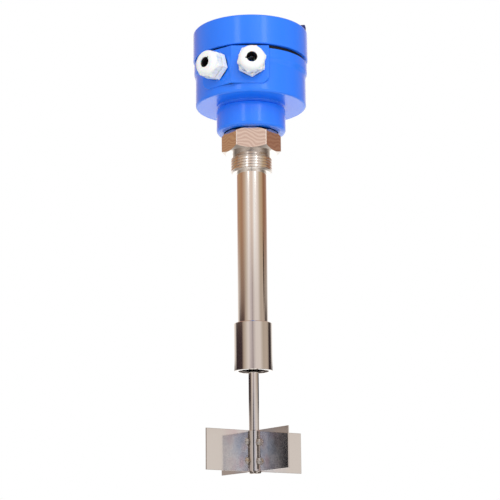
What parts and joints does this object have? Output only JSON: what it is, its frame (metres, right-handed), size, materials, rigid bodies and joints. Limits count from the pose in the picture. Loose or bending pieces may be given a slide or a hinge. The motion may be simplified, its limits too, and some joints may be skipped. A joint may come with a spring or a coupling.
{
  "type": "rotary paddle level switch",
  "caption": "Round cast housing with a screw lid, cable glands on angled facets, a hexagon thread nipple, a long tube, and a bladed paddle on its driven shaft.",
  "frame": {"origin": "on the shaft's axis, where the full process thread begins below the hexagon", "axes": "+Z along the shaft's axis up to the housing, with the paddle below; -Y is the side of the cable glands, where the picture's camera stands"},
  "size_m": [0.094, 0.109, 0.3651],
  "materials": {
    "blue_enamel": "gloss enamel",
    "stainless_steel": "turned",
    "white_nylon": "satin",
    "black_rubber": "matt",
    "bearing_steel": "ground",
    "spring_steel": "drawn",
    "zinc_plated_steel": "zinc plated",
    "plate_aluminium": "rolled",
    "bush_bronze": "turned",
    "bearing_plastic": "matt",
    "motor_can": "pressed",
    "motor_shaft_steel": "ground",
    "switch_black": "matt",
    "terminal_green": "satin"
  },
  "bodies": {
    "root": {"housing_body": "blue_enamel", "neck_ring": "blue_enamel", "neck_screws": "zinc_plated_steel", "hex_nipple": "stainless_steel", "nipple_gasket": "black_rubber", "extension_tube": "stainless_steel", "bearing_collar": "stainless_steel", "upper_bearing_outer_ring": "bearing_steel", "lower_bearing_outer_ring": "bearing_steel", "shaft_seal": "black_rubber", "retaining_ring": "spring_steel", "standoffs": "zinc_plated_steel", "base_plate": "plate_aluminium", "base_screws": "zinc_plated_steel", "pivot_bush": "bush_bronze", "thrust_washer": "bearing_plastic", "fixed_spring_post": "zinc_plated_steel", "return_spring": "spring_steel", "stop_pin": "zinc_plated_steel", "lower_microswitch": "switch_black", "upper_microswitch": "switch_black", "switch_sheets": "bearing_plastic", "switch_screws": "zinc_plated_steel", "terminal_block": "terminal_green", "terminal_screws": "zinc_plated_steel", "earth_screw": "bush_bronze", "left_gland_washer": "black_rubber", "left_gland_body": "white_nylon", "left_gland_seal": "black_rubber", "right_gland_washer": "black_rubber", "right_gland_body": "white_nylon", "right_gland_seal": "black_rubber"},
    "paddle": {"drive_shaft": "stainless_steel", "shaft_clip": "spring_steel", "upper_bearing_inner_ring": "bearing_steel", "lower_bearing_inner_ring": "bearing_steel", "paddle_hub": "stainless_steel", "back_right_blade": "stainless_steel", "back_left_blade": "stainless_steel", "front_left_blade": "stainless_steel", "front_right_blade": "stainless_steel", "shaft_coupling": "zinc_plated_steel", "coupling_screws": "zinc_plated_steel", "motor_output_shaft": "motor_shaft_steel"},
    "motor_plate": {"swing_plate": "zinc_plated_steel", "gear_motor": "motor_can", "motor_screws": "zinc_plated_steel", "actuator_pin": "zinc_plated_steel", "moving_spring_post": "zinc_plated_steel"},
    "lower_lever": {"lower_switch_lever": "spring_steel"},
    "upper_lever": {"upper_switch_lever": "spring_steel"},
    "lid_seal": {"lid_gasket": "black_rubber"},
    "lid": {"housing_lid": "blue_enamel"},
    "left_nut": {"left_gland_nut": "white_nylon"},
    "right_nut": {"right_gland_nut": "white_nylon"}
  },
  "joints": [
    {"name": "paddle_spin", "type": "hinge", "parent": "root", "child": "paddle", "pos_m": [0, 0, 0], "axis": [0, 0, 1], "continuous": true},
    {"name": "motor_swing", "type": "hinge", "parent": "root", "child": "motor_plate", "pos_m": [0, 0, 0.075], "axis": [0, 0, 1], "range_deg": [0, 8], "stiffness_Nm_per_rad": 0.5, "springref_deg": -5.73, "deforming": ["return_spring"]},
    {"name": "lower_lever_turn", "type": "hinge", "parent": "root", "child": "lower_lever", "pos_m": [-0.0058, 0.0135, 0.0596], "axis": [0, 0, 1], "range_deg": [0, 14.26]},
    {"name": "upper_lever_turn", "type": "hinge", "parent": "root", "child": "upper_lever", "pos_m": [-0.0058, 0.0135, 0.0664], "axis": [0, 0, 1], "range_deg": [0, 14.26]},
    {"name": "lid_turn", "type": "hinge", "parent": "root", "child": "lid_seal", "pos_m": [0, 0, 0.0805], "axis": [0, 0, 1], "range_deg": [0, 1800]},
    {"name": "lid_lift", "type": "slide", "parent": "lid_seal", "child": "lid", "axis": [0, 0, 1], "range_m": [0, 0.0101]},
    {"name": "left_nut_turn", "type": "hinge", "parent": "root", "child": "left_nut", "pos_m": [-0.03267, -0.0449, 0.0655], "axis": [-0.6157, -0.788, 0], "range_deg": [0, 720]},
    {"name": "right_nut_turn", "type": "hinge", "parent": "root", "child": "right_nut", "pos_m": [0.00096, -0.05549, 0.0655], "axis": [0.0244, -0.9997, 0], "range_deg": [0, 720]}
  ],
  "couplings": [
    {"joint": "lower_lever_turn", "follows": "motor_swing", "ratio": 1.78},
    {"joint": "upper_lever_turn", "follows": "motor_swing", "ratio": 1.78},
    {"joint": "lid_lift", "follows": "lid_turn", "m_per_rad": 0.00031831}
  ]
}
